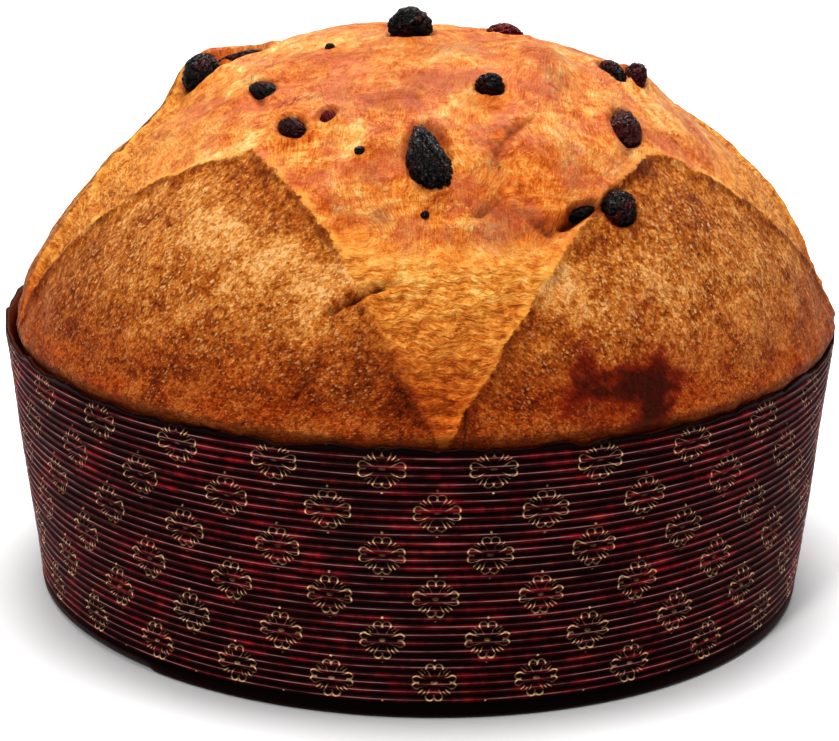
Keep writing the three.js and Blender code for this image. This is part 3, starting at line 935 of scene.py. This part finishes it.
def make_mould(material):
    deselect_all()
    bpy.ops.mesh.primitive_plane_add(size=1)
    mould = new_piece("ribbed_paper_mould")
    profile = mould_profile()
    bpy.ops.object.mode_set(mode="EDIT")
    bpy.ops.mesh.select_all(action="SELECT")
    bpy.ops.mesh.merge(type="CENTER")
    for (r0, z0), (r1, z1) in zip(profile, profile[1:]):
        step = (r1 - r0, 0, z1 - z0)
        bpy.ops.mesh.extrude_vertices_move(TRANSFORM_OT_translate={"value": step})
    bpy.ops.mesh.select_all(action="SELECT")
    bpy.ops.mesh.spin(steps=MOULD_COLUMNS, angle=2 * np.pi, center=(0, 0, 0), axis=(0, 0, 1))
    bpy.ops.mesh.select_all(action="SELECT")
    bpy.ops.mesh.remove_doubles(threshold=0.002)
    bpy.ops.object.mode_set(mode="OBJECT")
    places = vertex_places(mould)
    radius, azimuth = np.hypot(places[:, 0], places[:, 1]), np.arctan2(places[:, 1], places[:, 0])
    z = places[:, 2]
    store(mould, "paper_height", z)
    inside = (radius < paper_radius(z) - PAPER_WALL + 0.2) & (z > PAPER_FLOOR - 0.05)
    store(mould, "inside", inside.astype(float))
    on_wall = smooth(80, 95, radius)
    sway = 0.14 * noise(azimuth * 6, z / 2.2, salt=81) + 0.35 * noise(azimuth * 2, z / 26, salt=83)
    radius = radius + (out_of_round(azimuth, z) + sway * smooth(0, 4, z)) * on_wall
    top = smooth(MOULD_HEIGHT - 2.2, MOULD_HEIGHT, z)
    ruffle = 1.2 * ring_noise(azimuth, 13, salt=89) + 0.6 * ring_noise(azimuth, 32, salt=91)
    droop = 0.12 * noise(azimuth * 5, z / 3, salt=85) * smooth(3, 6, z)
    # A small notch in the foot, at the lower left
    notch = 1.2 * smooth(-2.27, -2.31, azimuth) * (1 - smooth(-2.5, -2.9, azimuth))
    notch = notch * (1 - smooth(1.0, 2.5, z)) * smooth(96, 99, radius)
    z = z + top * (rim_wave(azimuth) + ruffle) + droop + notch
    radius = radius + top * 0.3 * ring_noise(azimuth, 9, salt=87)
    lay_vertices(mould, round_point(radius, azimuth, np.maximum(z, 0)) * MM)
    finish_piece(mould, material, "mould_paper", "paper_mould")


# Printed rosettes: places wrap round the paper in a half-drop repeat
ROSETTES_ROUND = 26
ROSETTE_STEP = 25.85
ROSETTE_ROW = 11.1
ROSETTE_FIRST_ROW = 9.4
ROSETTE_PHASE = 87.6
ROSETTE_WIDER = 0.92
ROSETTE_TALLER = 1.06


def rosette_lines(s, azimuth, height):
    column = s.product(s.math("ADD", azimuth, ROSETTE_PHASE), ROSETTES_ROUND / 360)
    row = s.product(s.math("SUBTRACT", height, ROSETTE_FIRST_ROW), 1 / ROSETTE_ROW)
    rise = s.math("WRAP", s.blend_sum(column, (row, 0.5)), 0.5, -0.5)
    fall = s.math("WRAP", s.blend_sum(column, (row, -0.5)), 0.5, -0.5)
    p = s.product(s.math("ADD", rise, fall), ROSETTE_STEP / 2)
    p = s.math("ABSOLUTE", s.product(p, ROSETTE_WIDER))
    q = s.math("ABSOLUTE", s.product(s.math("SUBTRACT", rise, fall), ROSETTE_ROW * ROSETTE_TALLER))
    along, aside = s.math("MAXIMUM", p, q), s.math("MINIMUM", p, q)

    def stroke(distance, half_width):
        return s.ease(distance, half_width + 0.1, half_width - 0.1)

    def reach(a, b):
        return s.math("SQRT", s.math("MULTIPLY_ADD", a, a, s.math("MULTIPLY", b, b)))

    lobe = reach(s.math("SUBTRACT", along, 4.05), s.math("SUBTRACT", aside, 0.98))
    ring = stroke(s.math("ABSOLUTE", s.math("SUBTRACT", lobe, 0.98)), 0.19)
    ring = s.math("MULTIPLY", ring, s.ease(along, 3.3, 3.8))
    side = s.math("ABSOLUTE", s.math("SUBTRACT", aside, s.blend_sum((along, 0.5), -0.02)))
    side = s.product(stroke(side, 0.14), s.ease(along, 4.0, 3.7), s.ease(along, 1.2, 3.4))
    centre = reach(p, q)
    turn = s.math("ARCTAN2", aside, along)
    ray = s.product(centre, s.math("ABSOLUTE", s.math("SUBTRACT", turn, 0.68)))
    ray = s.product(stroke(ray, 0.12), s.ease(centre, 3.1, 3.5), s.ease(centre, 5.0, 4.6))
    heart = s.product(stroke(reach(s.product(p, 0.5), q), 0.4), 0.6)
    dot = stroke(reach(p, s.math("SUBTRACT", q, 6.4)), 0.3)
    lines = s.math("MAXIMUM", ring, side)
    for part in (ray, heart, dot):
        lines = s.math("MAXIMUM", lines, part)
    return lines


def mould_material():
    s = Shader("printed_maroon_paper")
    place = s.object_place()
    x, y, _ = s.split(place)
    height = s.attribute("paper_height")
    azimuth = s.product(s.math("ARCTAN2", y, x), 180 / np.pi)
    ribs = s.product(s.math("SUBTRACT", height, HEM_HEIGHT), 1 / RIB_PITCH)
    share = s.math("FRACT", ribs)
    row = s.math("FLOOR", ribs)
    along_rib = s.joined(s.product(x, 0.12), s.product(y, 0.12), s.product(row, 7.31))
    dashes = s.noise(along_rib, detail=5, roughness=0.75)
    broad = s.noise(place, (0.05, 0.05, 0.07), detail=2)
    level = s.blend_sum((dashes, 1.0), (broad, 0.35), -0.17)
    flank = s.ramp(level, [(0.36, "#29040A"), (0.5, "#430810"), (0.6, "#6E101B"),
                           (0.74, "#A01C2A")])
    crest_gap = s.math("ABSOLUTE", s.math("SUBTRACT", share, 0.5))
    # Painted shade: the valleys between the ribs darkened nearly to black.
    groove_shade = s.ease(crest_gap, 0.22, 0.36)
    on_ribs = s.ease(height, HEM_HEIGHT, HEM_HEIGHT + 0.3)
    colour = s.mix(s.product(groove_shade, 0.92), flank, "#0A0103")
    # Painted highlight: a pale grey line on the upper face of each rib, broken along the rib.
    highlight_gap = s.math("ABSOLUTE", s.math("SUBTRACT", share, 0.6))
    highlight_breakup = s.noise(along_rib, (0.7, 0.7, 1.0), detail=3)
    line = s.product(s.ease(highlight_gap, 0.08, 0.025), s.ease(highlight_breakup, 0.38, 0.68, 0.15, 0.8))
    # Painted shade: a dark stripe on the lower face of each rib.
    underside_shade_gap = s.math("ABSOLUTE", s.math("SUBTRACT", share, 0.36))
    colour = s.mix(s.ease(underside_shade_gap, 0.06, 0.02, 0.0, 0.7), colour, "#140205")
    colour = s.mix(line, colour, "#AC918C")
    ink = rosette_lines(s, azimuth, height)
    worn = s.ease(s.noise(place, (1.3, 1.3, 1.8), detail=2), 0.35, 0.6, 0.45, 1.0)
    # Painted light on the print: full on the upper face of each rib, dimmed on the shaded flanks.
    crest_light = s.ease(s.math("ABSOLUTE", s.math("SUBTRACT", share, 0.58)), 0.34, 0.04, 0.2, 1.0)
    ink = s.product(ink, worn, on_ribs, crest_light)
    colour = s.mix(s.product(ink, 0.95), colour, "#EFCE9E")
    # Painted shade: the smooth hem under the ribs is near black, as under the wider wall above it.
    colour = s.mix(on_ribs, "#0D0305", colour)
    # Painted shade: the paper's top edge near black, under the dough that overhangs it.
    lip = s.ease(height, MOULD_HEIGHT - 1.5, MOULD_HEIGHT - 0.9)
    colour = s.mix(s.product(lip, 0.95), colour, "#0C0204")
    colour = s.mix(s.attribute("inside"), colour, "#5A3218")
    s.put(s.surface.inputs["Base Color"], colour)
    fibre = s.noise(place, (2.2, 2.2, 2.2), detail=3)
    s.put(s.surface.inputs["Normal"], s.bump(s.product(fibre, 0.06)))
    s.settle({
        "Roughness": 0.4,
        "Specular IOR Level": 0.05,
        "Sheen Weight": 0.12,
        "Sheen Tint": (0.8, 0.08, 0.1, 1),
    })
    return s.material


# Raisins

def shrivel(ball, seed):
    """Scale for each point of a round ball that folds its skin like dried fruit."""
    x, y, z = ball.T
    swell = noise(x * 1.1 + seed, y * 1.1, z * 1.1, salt=101)
    fold = np.abs(noise(x * 1.9, y * 2.4 + seed, z * 2.1, salt=103))
    small = np.abs(noise(x * 4.6, y * 5.2, z * 4.8 + seed, salt=105))
    ridge = np.minimum(fold * 2.4, 1) * 0.65 + np.minimum(small * 2.4, 1) * 0.35
    return np.minimum(0.94 + 0.07 * swell + 0.18 * (ridge - 0.5), 1.04), ridge


def pebble(name, at, size, turn, rise, seed, wedge=NO_WEDGE, subdivisions=5):
    """A shrivelled fruit, set in the crust with its top at a rise over it."""
    deselect_all()
    bpy.ops.mesh.primitive_ico_sphere_add(subdivisions=subdivisions, radius=1)
    piece = new_piece(name)
    ball = vertex_places(piece)
    scale, ridge = shrivel(ball, seed)
    centre, long, wide, normal = raisin_frame(at, size, turn, rise)
    half = np.array(size) / 2
    x, y, z = ball.T
    taper, lean = wedge
    aside = y * (1 - taper * x) + lean * x
    place = (
        np.outer(x * scale * half[0], long)
        + np.outer(aside * scale * half[1], wide)
        + np.outer(z * scale * half[2], normal)
        + centre
    )
    lay_vertices(piece, place * MM)
    store(piece, "ridge", ridge)
    return piece


def make_fruit(material):
    for number, raisin in enumerate(RAISINS, start=1):
        wedge = WEDGES.get(number, NO_WEDGE)
        piece = pebble(f"raisin_{number:02d}_dried", *raisin, seed=number * 3.7, wedge=wedge)
        store(piece, "ruddy", np.full(len(piece.data.vertices), RUDDY.get(number, 0.0)))
        finish_piece(piece, material, "raisin", f"raisin_{number:02d}")
    for number, (at, width) in enumerate(SPECKS, start=1):
        size = (width, 0.85 * width, 0.8 * width)
        name = f"fruit_speck_{number}"
        piece = pebble(name, at, size, 30, 0.5 * width, seed=90 + number, subdivisions=3)
        finish_piece(piece, material, "raisin", "bread")


def raisin_material():
    s = Shader("dried_raisin_skin")
    place = s.object_place()
    mottle = s.noise(place, (0.16, 0.16, 0.16), detail=4)
    colour = s.ramp(mottle, [(0.42, "#080203"), (0.54, "#150506"), (0.62, "#3A0A0B"),
                             (0.72, "#701A0F")])
    colour = s.mix(s.attribute("ruddy"), colour, "#701418")
    # Painted shade: the folded-in hollows of the skin darkened nearly to black.
    colour = s.mix(s.ease(s.attribute("ridge"), 0.5, 0.1, 0.0, 0.8), colour, "#050101")
    s.put(s.surface.inputs["Base Color"], colour)
    wrinkle = s.noise(place, (0.8, 0.8, 0.8), detail=3, roughness=0.6, distortion=0.6)
    relief = s.bump(s.product(wrinkle, 1.9))
    s.put(s.surface.inputs["Normal"], relief)
    s.put(s.surface.inputs["Coat Normal"], relief)
    s.settle({
        "Roughness": 0.5,
        "Specular IOR Level": 0.05,
        "Coat Weight": 0.5,
        "Coat Roughness": 0.04,
        "Coat Tint": (1.0, 0.85, 0.8, 1),
    })
    return s.material


# Studio

def make_floor():
    deselect_all()
    bpy.ops.mesh.primitive_plane_add(size=FLOOR_SIZE, location=(0, 0, -FLOOR_DROP))
    floor = new_piece("studio_floor")
    s = Shader("pale_floor")
    s.settle({"Base Color": (0.9, 0.9, 0.9, 1), "Roughness": 0.9, "Specular IOR Level": 0.1})
    floor.data.materials.append(s.material)


def add_softbox(place, size, power):
    turn = (Vector(LIT_PLACE) - Vector(place)).to_track_quat("-Z", "Y").to_euler()
    bpy.ops.object.light_add(type="AREA", location=place, rotation=turn)
    light = bpy.context.active_object.data
    light.shape = "RECTANGLE"
    light.size, light.size_y = size
    light.energy = power
    deselect_all()


def light_studio():
    world = bpy.data.worlds.new("studio")
    bpy.context.scene.world = world
    world.use_nodes = True
    sky = world.node_tree.nodes["Background"]
    sky.inputs["Color"].default_value = (1, 1, 1, 1)
    sky.inputs["Strength"].default_value = SKY_STRENGTH
    for softbox in SOFTBOXES:
        add_softbox(**softbox)


def add_camera():
    forward = Vector((0, np.cos(CAMERA_PITCH), -np.sin(CAMERA_PITCH)))
    level = Vector((1, 0, 0))
    upright = level.cross(forward)
    right = level * np.cos(CAMERA_ROLL) + upright * np.sin(CAMERA_ROLL)
    up = upright * np.cos(CAMERA_ROLL) - level * np.sin(CAMERA_ROLL)
    turn = Matrix((right, up, -forward)).transposed().to_euler()
    bpy.ops.object.camera_add(location=CAMERA_PLACE, rotation=turn)
    camera = bpy.context.active_object
    camera.data.lens = CAMERA_LENS
    camera.data.sensor_width = SENSOR_WIDTH
    camera.data.clip_end = CAMERA_REACH
    bpy.context.scene.camera = camera
    deselect_all()


deselect_all()
add_camera()
light_studio()
make_floor()
make_mould(mould_material())
make_bread(crust_material())
make_fruit(raisin_material())
bpy.context.scene.view_settings.view_transform = "Standard"
bpy.context.scene.view_settings.look = "High Contrast"
